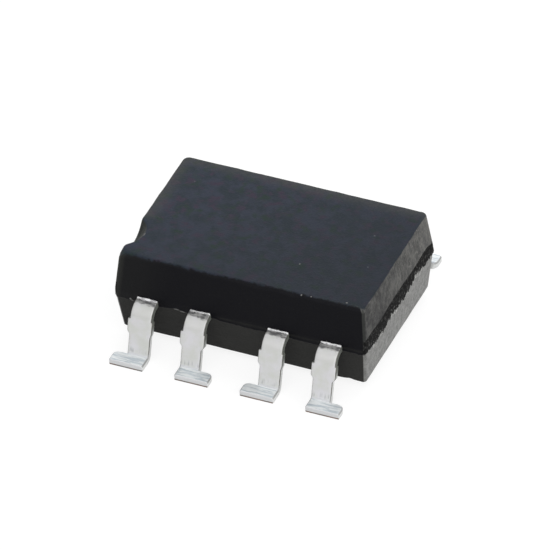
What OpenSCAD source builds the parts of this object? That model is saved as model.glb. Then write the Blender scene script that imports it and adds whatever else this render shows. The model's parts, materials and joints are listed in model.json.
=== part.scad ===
// Dual-channel optocoupler in an eight-lead surface-mount DIP package
// Millimetres. +Z is up, the feet stand on z = 0, lead 1 is at -X -Y, leads 5 to 8 run back along +Y.

/* [Body] */
// Body length beyond the outermost foot centres, at each end
body_overhang = 1.065; // [0.85:0.005:1.6]
// Body width at the parting line
body_width = 6.56; // [5.6:0.01:8]
// Height of the upper mould half above the lead frame
upper_height = 1.62; // [1.3:0.01:2.4]
// Height of the lower mould half below the lead frame
lower_height = 1.47; // [1.2:0.01:2.4]
// Air gap between the body and the board
standoff = 0.31; // [0.1:0.01:0.7]
// Draft angle of the end faces of the upper half
end_draft_upper = 5; // [1:0.5:9]
// Draft angle of the long side faces of the upper half
side_draft_upper = 9.5; // [1:0.5:12]
// Draft angle of the end faces of the lower half
end_draft_lower = 5; // [1:0.5:9]
// Draft angle of the long side faces of the lower half
side_draft_lower = 10.5; // [1:0.5:13]
// Rounding of the top and bottom edges
edge_radius = 0.09; // [0.04:0.01:0.25]
// Rounding of the four upright corner edges
corner_radius = 0.12; // [0.04:0.01:0.25]
// Height of the upright band at the parting line, up from the underside of the lead frame
band_height = 0.36; // [0.3:0.01:0.6]
// Step from the upright band in to the lower half
band_lip = 0.03; // [0.01:0.005:0.08]
// Diameter of the ejector-pin marks in the underside
ejector_diameter = 1.1; // [0.6:0.05:1.6]
// Depth of the ejector-pin marks
ejector_depth = 0.04; // [0.02:0.01:0.1]

/* [Index notch] */
// Width of the notch along the top edge of the lead-1 end
notch_width = 1.56; // [0.8:0.01:2]
// Reach of the notch into the top face
notch_reach = 0.42; // [0.2:0.01:0.6]
// Radius of the spherical notch surface
notch_radius = 1; // [0.95:0.01:1.15]
// Distance of the notch from the middle of the end, towards lead 1
notch_offset = 1.72; // [0:0.01:1.9]

/* [Leads] */
// Pitch of the leads
lead_pitch = 2.54; // [2.2:0.01:3]
// Thickness of the lead frame
lead_thickness = 0.25; // [0.15:0.01:0.3]
// Width of a lead where it leaves the body
lead_width = 0.82; // [0.6:0.01:1]
// Width of the shank below its dam-bar stubs
shank_width = 0.76; // [0.5:0.01:0.95]
// Straight run of a lead between the body and its upper bend
tab_reach = 0.085; // [0.05:0.005:0.4]
// Inner radius of the upper bend
bend_radius = 0.37; // [0.2:0.01:0.5]
// Lean of the shank outward from upright
shank_lean = 16; // [2:0.5:20]
// Inner radius of the bend into the foot
foot_bend_radius = 0.09; // [0.05:0.01:0.2]
// Projection of a dam-bar stub from the side of the shank
stub_reach = 0.09; // [0.02:0.01:0.15]
// Distance of the dam-bar stub below the upper bend
stub_drop = 0.02; // [0:0.01:0.15]
// Length of the dam-bar stub along the shank
stub_length = 0.46; // [0.2:0.01:0.6]
// Length over which the stub fades into the shank below it
stub_fade = 0.18; // [0.05:0.01:0.25]

/* [Feet] */
// Width of a foot, its wing included
foot_width = 1.31; // [1.1:0.01:1.6]
// Flat length of a foot from its bend to its tip
foot_length = 0.47; // [0.35:0.01:1]
// Rounding of the inner corner of the wing
wing_radius = 0.18; // [0.05:0.01:0.3]
// Rounding of the tip corners
tip_radius = 0.05; // [0.02:0.01:0.1]

/* [Inner mould] */
// Thickness of the dark outer mould beside the inner moulds, at the long sides
side_wall = 1.15; // [0.8:0.01:1.4]
// Thickness of the dark outer mould above and below the inner moulds
roof_wall = 0.6; // [0.3:0.01:0.7]
// Cover of the inner mould beyond the outer edge of its lead strips
strip_cover = 0.25; // [0.1:0.01:0.35]
// Draft angle of the inner moulds
inner_draft = 5; // [1:0.5:8]
// Rounding of the inner moulds' edges
inner_radius = 0.15; // [0.05:0.01:0.25]

/* [Lead frame inside] */
// Width of the strips between the body wall and the pads
strip_width = 0.6; // [0.4:0.01:0.7]
// Depth of the full-width shoulder inside the body wall
shoulder_depth = 0.45; // [0.2:0.01:0.6]
// Distance from the inner mould's wall to the start of the joggle
joggle_inset = 0.35; // [0.15:0.01:0.5]
// Run of the joggle that lowers or raises the pads
joggle_run = 0.4; // [0.3:0.01:0.5]
// Length of a wire-bond pad
bond_pad_length = 0.6; // [0.4:0.01:0.7]
// Gap between a bond pad and its neighbouring die pad
pad_gap = 0.2; // [0.12:0.01:0.3]
// Margin of a die pad round the silicone dome
pad_margin = 0.08; // [0.02:0.01:0.15]

/* [Dies] */
// Side of the infrared emitter die
led_size = 0.28; // [0.2:0.01:0.36]
// Thickness of the emitter die
led_thickness = 0.18; // [0.1:0.01:0.22]
// Side of the detector die
detector_size = 0.6; // [0.4:0.01:0.7]
// Thickness of the detector die
detector_thickness = 0.15; // [0.1:0.01:0.22]
// Thickness of the silver-filled die attach
attach_thickness = 0.02; // [0.01:0.005:0.04]
// Squeeze-out of the die attach beyond the die
attach_margin = 0.03; // [0.01:0.01:0.05]
// Radius of the clear silicone dome over the emitter
dome_radius = 0.42; // [0.36:0.01:0.5]
// Insulation gap between the dome and the detector die
dome_gap = 0.26; // [0.15:0.01:0.4]

/* [Bond wires] */
// Diameter of the gold bond wires
wire_diameter = 0.03; // [0.02:0.005:0.05]
// Rise of a wire loop over its ends
wire_rise = 0.14; // [0.08:0.01:0.18]
// Diameter of the ball bond
ball_diameter = 0.09; // [0.07:0.01:0.12]
// Height of the ball bond
ball_height = 0.02; // [0.01:0.005:0.03]

/* [Hidden] */
$fn = 64;
CHANNELS = [1, 2];
LEADS = [1, 2, 3, 4, 5, 6, 7, 8];
ROW_LEADS = 4;
WIRE_SIDES = 8;
WIRE_RINGS = 13;
// Length by which a cutter or a section runs past what it cuts
overrun = 1;
// Angle at which a rounding meets the two faces beside it
blend_angle = 8;

mould_colour = "#2c2d32";
inner_colour = "#e9e8e0";
lead_colour = "#cfd2d4";
emitter_colour = "#8c3b2e";
detector_colour = "#4a5568";
attach_colour = "#b9bcc0";
wire_colour = "#d9b44a";
dome_colour = "#dfeaf2";

// Levels of the body and of the lead frame
frame_low = standoff + lower_height;
frame_high = frame_low + lead_thickness;
frame_mid = frame_low + lead_thickness / 2;
body_top = frame_high + upper_height;
body_half_length = (ROW_LEADS - 1) * lead_pitch / 2 + body_overhang;
body_half_width = body_width / 2;

// The spherical notch: its centre lies outside the end and above the top face
top_half_length = body_half_length - (body_top - frame_low - band_height) * tan(end_draft_upper);
notch_out = (notch_width^2 / 4 - notch_reach^2) / (2 * notch_reach);
notch_up = sqrt(notch_radius^2 - notch_width^2 / 4 - notch_out^2);

// The formed lead, seen from the side: its two bends and the shank between them
turn = 90 - shank_lean;
bend_outer = bend_radius + lead_thickness;
bend_reach = body_half_width + tab_reach;
bend_level = frame_high - bend_outer;
foot_bend_level = lead_thickness + foot_bend_radius;
shank_length = (bend_level + (bend_outer + foot_bend_radius) * cos(turn) - foot_bend_level) / sin(turn);

// The flush side of a lead lies towards the other lead of its channel
flush = foot_width / 2;
strip_centre = flush - lead_width / 2;
channel_centre = lead_pitch / 2;

// The inner moulds and the pads inside them
inner_half_width = body_half_width - side_wall;
inner_half_length = channel_centre - strip_centre + strip_width / 2 + strip_cover;
inner_low = standoff + roof_wall;
inner_high = body_top - roof_wall;
joggle_out = inner_half_width - joggle_inset;
joggle_in = joggle_out - joggle_run;
pad_reach = dome_radius + pad_margin;
pad_space = dome_radius + dome_gap + detector_thickness + attach_thickness;
emitter_level = frame_mid - pad_space / 2;
detector_level = frame_mid + pad_space / 2;
bond_reach = joggle_in - bond_pad_length / 2;
bond_side = channel_centre - strip_centre;

function is_front(n) = n <= ROW_LEADS;
function is_die_lead(n) = n % 2 == 0;
function opposite(n) = 2 * ROW_LEADS + 1 - n;
function foot_x(n) = is_front(n) ? (n - (ROW_LEADS + 1) / 2) * lead_pitch : foot_x(opposite(n));
function mate_side(n) = ((n % 2 == 1) == is_front(n)) ? 1 : -1;

// A channel lies between two front leads, the first of them without a die, and the two opposite
function plain_lead(c) = 2 * c - 1;
function die_lead(c) = 2 * c;
function channel_x(c) = (foot_x(plain_lead(c)) + foot_x(die_lead(c))) / 2;

// What a rounding takes off the tip of a wedge that lies along X with its tip at the origin
module wedge_tip(half_angle, radius) {
    depth = radius * cos(blend_angle);
    touch = depth / tan(half_angle) * [cos(half_angle), sin(half_angle)];
    clear = touch + overrun * [-sin(half_angle), cos(half_angle)];
    difference() {
        polygon([touch, clear, [clear[0], -clear[1]], [touch[0], -touch[1]]]);
        translate([depth / sin(half_angle), 0]) circle(radius);
    }
}

// A drafted mould half in section: flanks that lean in and rounded far corners
module drafted_half(half, height, draft, radius) {
    far = half - height * tan(draft);
    half_corner = 45 + draft / 2;
    difference() {
        polygon([[-half, 0], [half, 0], [far, height], [-far, height]]);
        for (side = [0, 1])
            mirror([side, 0]) translate([far, height]) rotate(180 + half_corner) wedge_tip(half_corner, radius);
    }
}

// A moulded block in section: an upright band, the upper half on it and the lower half under its lip
module mould_section(half, low, high, draft_low, draft_high, radius, band, lip) {
    translate([0, frame_low + band]) drafted_half(half, high - frame_low - band, draft_high, radius);
    translate([-half, frame_low]) square([2 * half, band]);
    translate([0, frame_low]) mirror([0, 1]) drafted_half(half - lip, frame_low - low, draft_low, radius);
}

// A section drawn in the X-Z plane, run along Y
module along_y(length) {
    rotate([90, 0, 0]) linear_extrude(length, center = true) children();
}

// A section drawn in the Y-Z plane, run along X
module along_x(length) {
    rotate([90, 0, 90]) linear_extrude(length, center = true) children();
}

// Material to take away along an upright edge, where an end face and a side face lean in from z = 0 up
module corner_edge(half_length, half_width, height, end_draft, side_draft) {
    end_normal = [cos(end_draft), 0, sin(end_draft)];
    side_normal = [0, cos(side_draft), sin(side_draft)];
    along = unit(cross(end_normal, side_normal));
    inward = -unit(end_normal + side_normal);
    across = cross(along, inward);
    turned = [for (i = [0 : 2]) [inward[i], across[i], along[i], 0]];
    intersection() {
        translate([half_length, half_width, 0]) multmatrix(concat(turned, [[0, 0, 0, 1]]))
            translate([0, 0, -overrun]) linear_extrude(height + 3 * overrun)
                wedge_tip(90 - acos(end_normal * side_normal) / 2, corner_radius);
        cube([half_length + overrun, half_width + overrun, height]);
    }
}

// The upright edges of the body: those of the upper half, of the band and of the lower half under its lip
module corner_edges() {
    for (end = [0, 1], side = [0, 1])
        mirror([end, 0, 0]) mirror([0, side, 0]) translate([0, 0, frame_low]) {
            translate([0, 0, band_height])
                corner_edge(body_half_length, body_half_width, body_top - frame_low - band_height + overrun,
                    end_draft_upper, side_draft_upper);
            corner_edge(body_half_length, body_half_width, band_height, 0, 0);
            mirror([0, 0, 1])
                corner_edge(body_half_length - band_lip, body_half_width - band_lip, lower_height + overrun,
                    end_draft_lower, side_draft_lower);
        }
}

module notch() {
    translate([-top_half_length - notch_out, -notch_offset, body_top + notch_up]) sphere(notch_radius);
}

module ejector_marks() {
    for (c = CHANNELS)
        translate([channel_x(c), 0, standoff - overrun])
            cylinder(d = ejector_diameter, h = overrun + ejector_depth);
}

module body_block() {
    difference() {
        intersection() {
            along_y(body_width + overrun)
                mould_section(body_half_length, standoff, body_top, end_draft_lower, end_draft_upper,
                    edge_radius, band_height, band_lip);
            along_x(2 * body_half_length + overrun)
                mould_section(body_half_width, standoff, body_top, side_draft_lower, side_draft_upper,
                    edge_radius, band_height, band_lip);
        }
        corner_edges();
        notch();
        ejector_marks();
    }
}

module inner_block(c) {
    translate([channel_x(c), 0, 0]) intersection() {
        along_y(2 * inner_half_width + overrun)
            mould_section(inner_half_length, inner_low, inner_high, inner_draft, inner_draft,
                inner_radius, lead_thickness, 0);
        along_x(2 * inner_half_length + overrun)
            mould_section(inner_half_width, inner_low, inner_high, inner_draft, inner_draft,
                inner_radius, lead_thickness, 0);
    }
}

// A flat plate of the lead frame with its underside at the given level
module plate(level) {
    translate([0, 0, level]) linear_extrude(lead_thickness) children();
}

// A bend of the strip about the local Z axis, starting on the local X axis
module strip_bend(radius, side, width) {
    translate([0, 0, side])
        rotate_extrude(angle = turn)
            translate([radius, 0]) square([lead_thickness, width]);
}

// The shank laid flat: its upper width, the two dam-bar stubs and the narrower lower part
module shank_outline() {
    stub_end = stub_drop + stub_length;
    polygon([
        [flush, 0], [flush, stub_drop],
        [flush + stub_reach, stub_drop], [flush + stub_reach, stub_end],
        [flush, stub_end + stub_fade], [flush, shank_length],
        [flush - shank_width, shank_length], [flush - shank_width, stub_end + stub_fade],
        [flush - lead_width - stub_reach, stub_end], [flush - lead_width - stub_reach, stub_drop],
        [flush - lead_width, stub_drop], [flush - lead_width, 0]
    ]);
}

// The foot laid flat: flush on one side, with a wing on the other
module foot_outline() {
    difference() {
        translate([-flush, 0]) square([foot_width, foot_length]);
        translate([-flush, 0]) rotate(45) wedge_tip(45, wing_radius);
        translate([-flush, foot_length]) rotate(-45) wedge_tip(45, tip_radius);
        translate([flush, foot_length]) rotate(225) wedge_tip(45, tip_radius);
    }
}

// The part of a lead outside the body, a chain in which each piece starts where the last one ends
module formed_lead() {
    translate([0, bend_reach, bend_level]) rotate([90, 0, 90]) rotate([0, 0, shank_lean]) {
        strip_bend(bend_radius, flush - lead_width, lead_width);
        translate([bend_radius, 0, 0]) rotate([180, -90, 0])
            linear_extrude(lead_thickness) shank_outline();
        translate([bend_outer + foot_bend_radius, -shank_length, 0]) rotate([0, 0, 180]) {
            strip_bend(foot_bend_radius, flush - shank_width, shank_width);
            rotate([0, 0, turn]) translate([foot_bend_radius + lead_thickness, 0, 0]) rotate([0, -90, 0])
                linear_extrude(lead_thickness) foot_outline();
        }
    }
}

// The straight tab through the wall, its shoulder and the strip up to the joggle
module wall_tab() {
    shoulder_in = body_half_width - shoulder_depth;
    plate(frame_low) {
        translate([flush - lead_width, shoulder_in]) square([lead_width, bend_reach - shoulder_in]);
        translate([strip_centre - strip_width / 2, joggle_out])
            square([strip_width, shoulder_in - joggle_out]);
    }
}

// The sloping strip between the frame's own level and the level of the pads
module joggle(level) {
    translate([strip_centre, 0, 0]) along_x(strip_width)
        polygon([
            [joggle_out, frame_low], [joggle_out, frame_high],
            [joggle_in, level + lead_thickness], [joggle_in, level]
        ]);
}

// The pad that carries a die, reaching across the middle of its channel
module die_pad(level) {
    strip_side = strip_centre - strip_width / 2;
    plate(level)
        translate([strip_side, -pad_reach])
            square([channel_centre + pad_reach - strip_side, pad_reach + joggle_in]);
}

// The shorter pad that takes the far end of a bond wire
module bond_pad(level) {
    strip_side = strip_centre - strip_width / 2;
    pad_side = channel_centre - pad_reach - pad_gap;
    plate(level)
        translate([strip_side, joggle_in - bond_pad_length])
            square([pad_side - strip_side, bond_pad_length]);
}

// A whole lead: the front row carries the emitters low, the back row the detectors high
module lead_solid(n) {
    level = is_front(n) ? emitter_level - lead_thickness : detector_level;
    translate([foot_x(n), 0, 0]) turned_to(mate_side(n), is_front(n)) {
        formed_lead();
        wall_tab();
        joggle(level);
        if (is_die_lead(n)) die_pad(level);
        else bond_pad(level);
    }
}

// Turns a lead drawn for the back row, flush side at +X, to its own row and side
module turned_to(side, front) {
    mirror([side < 0 ? 1 : 0, 0, 0]) mirror([0, front ? 1 : 0, 0]) children();
}

// A square plate centred on a channel
module square_plate(c, size, level, thickness) {
    translate([channel_x(c) - size / 2, -size / 2, level]) cube([size, size, thickness]);
}

// Points and rings of a wire loop whose two ends stand upright on their pads
function loop_centre(a, b, rise, t) = a + (b - a) * (1 - cos(t)) / 2 + [0, 0, rise * sin(t)];
function loop_heading(a, b, rise, t) = (b - a) * sin(t) / 2 + [0, 0, rise * cos(t)];
function unit(v) = v / norm(v);
function loop_ring(a, b, rise, t) =
    let (across = unit(cross([0, 0, 1], b - a)))
    let (over = cross(unit(loop_heading(a, b, rise, t)), across))
    [for (k = [0 : WIRE_SIDES - 1])
        let (turn_k = 360 * k / WIRE_SIDES)
        loop_centre(a, b, rise, t) + wire_diameter / 2 * (cos(turn_k) * across + sin(turn_k) * over)];

module wire_loop(a, b, rise) {
    last = WIRE_RINGS - 1;
    points = [for (i = [0 : last]) each loop_ring(a, b, rise, 180 * i / last)];
    sides = [for (i = [0 : last - 1], k = [0 : WIRE_SIDES - 1])
        let (p = i * WIRE_SIDES + k)
        let (q = i * WIRE_SIDES + (k + 1) % WIRE_SIDES)
        each [[p, p + WIRE_SIDES, q + WIRE_SIDES], [p, q + WIRE_SIDES, q]]];
    start_cap = [for (k = [0 : WIRE_SIDES - 1]) k];
    end_cap = [for (k = [0 : WIRE_SIDES - 1]) (last + 1) * WIRE_SIDES - 1 - k];
    polyhedron(points, concat(sides, [start_cap, end_cap]));
}

// A ball bond on a die and the loop from it to the bond pad
module bond_wire(a, b, up) {
    wire_loop(a, b, up * wire_rise);
    translate(a) mirror([0, 0, up < 0 ? 1 : 0]) cylinder(d = ball_diameter, h = ball_height);
}

// The bond pads lie at opposite corners of a channel, each on the lead that carries no die
function bond_x(n, c) = channel_x(c) - mate_side(n) * bond_side;

module led_chip_solid(c) {
    square_plate(c, led_size, emitter_level + attach_thickness, led_thickness);
}

module led_attach_solid(c) {
    square_plate(c, led_size + 2 * attach_margin, emitter_level, attach_thickness);
}

module led_wire_solid(c) {
    lead = plain_lead(c);
    bond_wire(
        [channel_x(c), 0, emitter_level + attach_thickness + led_thickness],
        [bond_x(lead, c), -bond_reach, emitter_level], 1);
}

module dome_block(c) {
    translate([channel_x(c), 0, emitter_level]) intersection() {
        sphere(dome_radius);
        translate([-dome_radius, -dome_radius, 0]) cube(2 * dome_radius);
    }
}

module detector_chip_solid(c) {
    level = detector_level - attach_thickness - detector_thickness;
    square_plate(c, detector_size, level, detector_thickness);
}

module detector_attach_solid(c) {
    level = detector_level - attach_thickness;
    square_plate(c, detector_size + 2 * attach_margin, level, attach_thickness);
}

module detector_wire_solid(c) {
    lead = opposite(die_lead(c));
    inset = detector_size / 2 - ball_diameter;
    level = detector_level - attach_thickness - detector_thickness;
    bond_wire(
        [channel_x(c) - mate_side(lead) * inset, inset, level],
        [bond_x(lead, c), bond_reach, detector_level], -1);
}

// Everything that a channel's inner mould flows round, its dome apart
module channel_parts(c) {
    led_chip_solid(c);
    led_attach_solid(c);
    led_wire_solid(c);
    detector_chip_solid(c);
    detector_attach_solid(c);
    detector_wire_solid(c);
}

module outer_mould() {
    color(mould_colour) difference() {
        body_block();
        for (c = CHANNELS) inner_block(c);
        for (n = LEADS) lead_solid(n);
    }
}

module inner_mould(c) {
    color(inner_colour) difference() {
        inner_block(c);
        for (n = [plain_lead(c), die_lead(c)]) {
            lead_solid(n);
            lead_solid(opposite(n));
        }
        dome_block(c);
        channel_parts(c);
    }
}

module lead(n) {
    color(lead_colour) lead_solid(n);
}

module led_chip(c) {
    color(emitter_colour) led_chip_solid(c);
}

module led_attach(c) {
    color(attach_colour) led_attach_solid(c);
}

module led_wire(c) {
    color(wire_colour) led_wire_solid(c);
}

module silicone_dome(c) {
    color(dome_colour) difference() {
        dome_block(c);
        led_chip_solid(c);
        led_attach_solid(c);
        led_wire_solid(c);
    }
}

module detector_chip(c) {
    color(detector_colour) detector_chip_solid(c);
}

module detector_attach(c) {
    color(attach_colour) detector_attach_solid(c);
}

module detector_wire(c) {
    color(wire_colour) detector_wire_solid(c);
}

outer_mould();
for (c = CHANNELS) {
    inner_mould(c);
    led_chip(c);
    led_attach(c);
    led_wire(c);
    silicone_dome(c);
    detector_chip(c);
    detector_attach(c);
    detector_wire(c);
}
for (n = LEADS) {
    lead(n);
}
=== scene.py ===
"""The looks of a surface-mount optocoupler: a moulded epoxy body with tinned gull-wing leads."""
import json
import math

import bmesh
import bpy
import numpy as np
from mathutils import Matrix, Vector, geometry, noise


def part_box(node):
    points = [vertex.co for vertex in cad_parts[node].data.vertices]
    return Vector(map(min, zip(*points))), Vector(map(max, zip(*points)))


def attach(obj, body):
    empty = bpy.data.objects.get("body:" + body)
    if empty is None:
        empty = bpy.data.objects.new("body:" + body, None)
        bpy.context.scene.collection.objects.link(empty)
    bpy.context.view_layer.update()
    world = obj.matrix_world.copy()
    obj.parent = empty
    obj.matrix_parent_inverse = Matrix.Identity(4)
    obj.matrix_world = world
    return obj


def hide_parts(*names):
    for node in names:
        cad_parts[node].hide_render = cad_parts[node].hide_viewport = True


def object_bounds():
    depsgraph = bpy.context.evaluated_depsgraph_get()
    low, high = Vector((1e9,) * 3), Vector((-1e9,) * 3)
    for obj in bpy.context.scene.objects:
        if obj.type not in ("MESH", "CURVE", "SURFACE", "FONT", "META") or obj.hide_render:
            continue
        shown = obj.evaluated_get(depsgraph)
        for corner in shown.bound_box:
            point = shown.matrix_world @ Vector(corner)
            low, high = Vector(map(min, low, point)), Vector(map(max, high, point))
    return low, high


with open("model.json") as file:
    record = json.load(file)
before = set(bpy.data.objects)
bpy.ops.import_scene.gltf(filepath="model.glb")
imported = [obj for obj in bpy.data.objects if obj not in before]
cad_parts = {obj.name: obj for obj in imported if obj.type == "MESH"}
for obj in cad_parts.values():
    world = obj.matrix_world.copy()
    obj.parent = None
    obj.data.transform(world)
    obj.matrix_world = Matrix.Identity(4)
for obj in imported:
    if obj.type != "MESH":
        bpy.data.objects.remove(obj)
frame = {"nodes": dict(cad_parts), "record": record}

cad_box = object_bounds()

# Sizes are in millimetres and turn into metres where a mesh is made
MM = 0.001

# Places that the frame gives
body_low, body_high = (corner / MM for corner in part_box("outer_mould"))
HALF_LENGTH = body_high.x
HALF_WIDTH = body_high.y
BASE = body_low.z
TOP = body_high.z
TIP_Y = cad_box[1].y / MM
FRAME_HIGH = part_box("lead_1")[1].z / MM
CHANNEL_X = [sum(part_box(f"inner_mould_{c}")[k].x for k in (0, 1)) / 2 / MM for c in (1, 2)]
FOOT_X = {
    int(mount["name"].split("_")[1]): mount["pos_m"][0] / MM
    for mount in frame["record"]["mounts"] if mount["name"].startswith("foot_")
}

# Sizes of the body
END_DRAFT_UPPER = math.radians(5)
SIDE_DRAFT_UPPER = math.radians(9.5)
END_DRAFT_LOWER = math.radians(5)
SIDE_DRAFT_LOWER = math.radians(10.5)
EDGE_RADIUS = 0.065
FRONT_EDGE_RADIUS = 0.2
FRONT_EDGE_START = -0.75 * HALF_WIDTH
CORNER_RADIUS = 0.12
BACK_CORNER_RADIUS = 0.22
BAND_HEIGHT = 0.36
BAND_LIP = 0.03
NOTCH_WIDTH = 1.56
NOTCH_REACH = 0.42
NOTCH_RADIUS = 1.0
NOTCH_OFFSET = 1.72
NOTCH_RIM = 0.07
NOTCH_RIM_PASSES = 8
NOTCH_PAINT_INNER = NOTCH_RADIUS + 0.01
NOTCH_PAINT_OUTER = NOTCH_RADIUS + 0.03
MARK_RADIUS = 0.55
MARK_DEPTH = 0.04
MARK_RIM = 0.02

# Sizes of the leads
LEADS = range(1, 9)
ROW_LEADS = 4
LEAD_THICKNESS = 0.25
LEAD_WIDTH = 0.82
SHANK_WIDTH = 0.76
TAB_REACH = 0.085
TAB_DEPTH = 0.3
BEND_RADIUS = 0.37
SHANK_LEAN = math.radians(16)
FOOT_BEND_RADIUS = 0.09
STUB_REACH = 0.09
STUB_DROP = 0.02
STUB_RAMP = 0.025
STUB_LENGTH = 0.46
STUB_FADE = 0.18
FOOT_WIDTH = 1.31
FOOT_LENGTH = 0.47
WING_RADIUS = 0.24
TIP_RADIUS = 0.05

# Small forms of the leads that only the looks have
ODD_SHANK_WIDTH = 0.82
NEAR_STUB_REACH = 0.04
WING_LEAD = 0.09
BURR_RADIUS = 0.025
ROLLED_EDGE = 0.06
SHARP_EDGE = 0.02
BEAD_OUT = 0.02
BEAD_WIDTH = 0.022
BEAD_HEIGHT = 0.042

# Sizes that follow from those above
HALF_THICKNESS = LEAD_THICKNESS / 2
FRAME_LOW = FRAME_HIGH - LEAD_THICKNESS
BAND_HIGH = FRAME_LOW + BAND_HEIGHT
TOP_X = HALF_LENGTH - (TOP - BAND_HIGH) * math.tan(END_DRAFT_UPPER)
TOP_Y = HALF_WIDTH - (TOP - BAND_HIGH) * math.tan(SIDE_DRAFT_UPPER)
FLUSH = FOOT_WIDTH / 2
TURN = math.pi / 2 - SHANK_LEAN
BEND_OUTER = BEND_RADIUS + LEAD_THICKNESS
BEND_Y = HALF_WIDTH + TAB_REACH
BEND_Z = FRAME_HIGH - BEND_OUTER
FOOT_BEND_Z = LEAD_THICKNESS + FOOT_BEND_RADIUS
SHANK_DROP = BEND_Z + (BEND_OUTER + FOOT_BEND_RADIUS) * math.cos(TURN) - FOOT_BEND_Z
SHANK_LENGTH = SHANK_DROP / math.sin(TURN)

# The parting band of the ends and the parting line of the sides; bells are middle, width and height
BAND_DARK_TOP = 2.43
BAND_DIPS = ((-1.8, 0.6, 0.07), (1.3, 0.7, 0.05))
BAND_BACK_SINK = 0.13
BAND_BACK = (2.5, 3.1)
BAND_HUMPS = ((1.6, 0.55, 0.2), (-0.85, 0.35, 0.12), (-1.45, 0.25, -0.06))
BAND_FADE = 0.2
CORNER_RISE = 0.08
CORNER_RISE_Y = (-2.7, -3.15)
SIDE_LIP = FRAME_LOW + 0.02
SIDE_HUMPS = ((-2.5, 0.35, 0.09), (-1.2, 0.4, 0.07))
# Level of a painted highlight, a faint pale line along the flanks over the parting line
HIGHLIGHT_LINE_LEVEL = FRAME_LOW + 0.19

# Wear of the body's edges
WORN_CORNER = 0.08
WORN_CORNER_REACH = 0.8
WORN_BASE = ((4.1, 0.15, 0.09),)
RIM_REACH = 0.15
RIM_DROP = 0.18
RIM_UNEVENNESS = 0.006
FACE_UNEVENNESS = 0.003

# Smooth noises, given by their seed, wavelength and height
EDGE_WAVES = ((6.0, 0.8, 0.5),)
BAND_TEETH = ((1.0, 0.3, 0.05), (2.0, 0.16, 0.14), (3.0, 0.08, 0.11))
SIDE_WAVES = ((3.0, 0.9, 0.02), (4.0, 0.2, 0.015))
FACE_WAVES = ((3.0, 0.35, 1.0), (4.0, 0.12, 0.6))
BEAD_SWAY = ((8.0, 0.2, 0.016),)
BEAD_WAVES = ((9.0, 0.15, 0.04),)
STRIP_SEED = 5.0
STRIP_WAVELENGTH = 0.18
STRIP_UNEVENNESS = 0.004
SEED_Y = 7.3
SEED_Z = -3.1
SIDES_APART = 9

# Light flecks on the mould, as places and half sizes: painted highlights on flash slivers along the front
# and on the rim of the notch, and light specks on the top
SLIVER = (0.15, 0.2, 0.045)
SHRED = (0.055, 0.2, 0.055)
FLECKS_AND_HIGHLIGHTS = (
    ((-2.45, -HALF_WIDTH, 1.875), SLIVER),
    ((-2.22, -HALF_WIDTH, 1.825), SLIVER),
    ((-4.24, -HALF_WIDTH, 1.865), SHRED),
    ((-4.18, -HALF_WIDTH, 1.805), SHRED),
    ((-4.32, -NOTCH_OFFSET, TOP), (0.06, 0.14, 0.03)),
    ((2.31, -2.94, TOP), (0.04, 0.05, 0.1)),
    ((2.68, -2.92, TOP), (0.035, 0.04, 0.1)),
    ((4.0, -2.8, TOP), (0.05, 0.04, 0.1)),
    ((1.58, -1.34, TOP), (0.03, 0.04, 0.1)),
)

# Mesh of the body
COLUMNS = 180
ROWS = 188
CORNER_STEPS = 6
EDGE_DEPTH = 0.25
BASE_EDGE_LEVELS = 9
TOP_EDGE_LEVELS = 15
GRID = 0.055
FINE_GRID = 0.023
LIP_LEVELS = (1.62, 2.20)
BAND_TOP_LEVELS = (2.26, 2.48)
CAP_INSET = 0.55
CAP_RINGS = 16
BASE_RINGS = (10, 5, 0)
MARK_STEPS = 48

# Mesh of the leads
TAB_STEPS = 19
BEND_STEPS = 16
STUB_STEPS = 6
SHANK_STEPS = 12
FOOT_BEND_STEPS = 7
WING_STEPS = 8
FOOT_STEPS = 6
TIP_STEPS = 6
FLAT_STEPS = 8
ARC_STEPS = 5
STATION_GAP = 1e-4
WELD_DISTANCE = 1e-4

# Colours of the mould, as linear red, green and blue. One epoxy is painted lighter or darker face by face
# for the light each face catches: a lighter slate top, nearly black flanks and grey ends
SLATE_DARK = (0.0215, 0.030, 0.040)
SLATE_LIGHT = (0.033, 0.040, 0.060)
SLATE_PURPLE = (0.040, 0.032, 0.052)
SLATE_GREEN = (0.020, 0.036, 0.030)
# Painted shade of the top towards its front right end
SLATE_PAINTED_SHADE = (0.0115, 0.015, 0.020)
TOP_RIM = (0.062, 0.064, 0.064)
RECESS_DARK = (0.016, 0.019, 0.018)
RECESS_LIGHT = (0.030, 0.033, 0.031)
LIGHT_SPECK = (0.08, 0.09, 0.10)
# Flanks: nearly black above the parting line, and painted dark grey below it for the bounce light from
# the floor
UPPER_DARK = (0.0025, 0.0025, 0.004)
UPPER_LIGHT = (0.004, 0.004, 0.0055)
LOWER_DARK = (0.020, 0.020, 0.019)
LOWER_LIGHT = (0.030, 0.030, 0.028)
# Painted highlight along the flanks over the parting line
HIGHLIGHT_LINE_GREY = (0.012, 0.012, 0.012)
# Painted sheen on the rounded upright corners and on the front beside the left one
CORNER_SHEEN_GREY = (0.030, 0.032, 0.030)
FRONT_SHEEN_GREY = (0.036, 0.037, 0.033)
# The ends: streaky epoxy painted lighter than the flanks for the light the ends catch
END_DARK = (0.014, 0.014, 0.015)
LIT_STREAK_DARK = (0.078, 0.078, 0.077)
LIT_STREAK_LIGHT = (0.152, 0.150, 0.140)
CRUMB = (0.20, 0.195, 0.18)
# Below the parting line the ends are painted paler still, a painted reflection of the floor
END_LOWER_DARK = (0.145, 0.146, 0.141)
END_LOWER_LIGHT = (0.28, 0.281, 0.27)
BROKEN_FLASH = (0.50, 0.50, 0.48)
# Painted highlight along the top edges of the ends
END_EDGE_HIGHLIGHT = (0.15, 0.15, 0.145)
BAND_BLACK = (0.007, 0.007, 0.007)
BAND_CHIP = (0.16, 0.16, 0.155)
# Painted highlights on flash and on the notch's rim, and light specks
FLECK_AND_HIGHLIGHT = (0.19, 0.19, 0.185)

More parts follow.
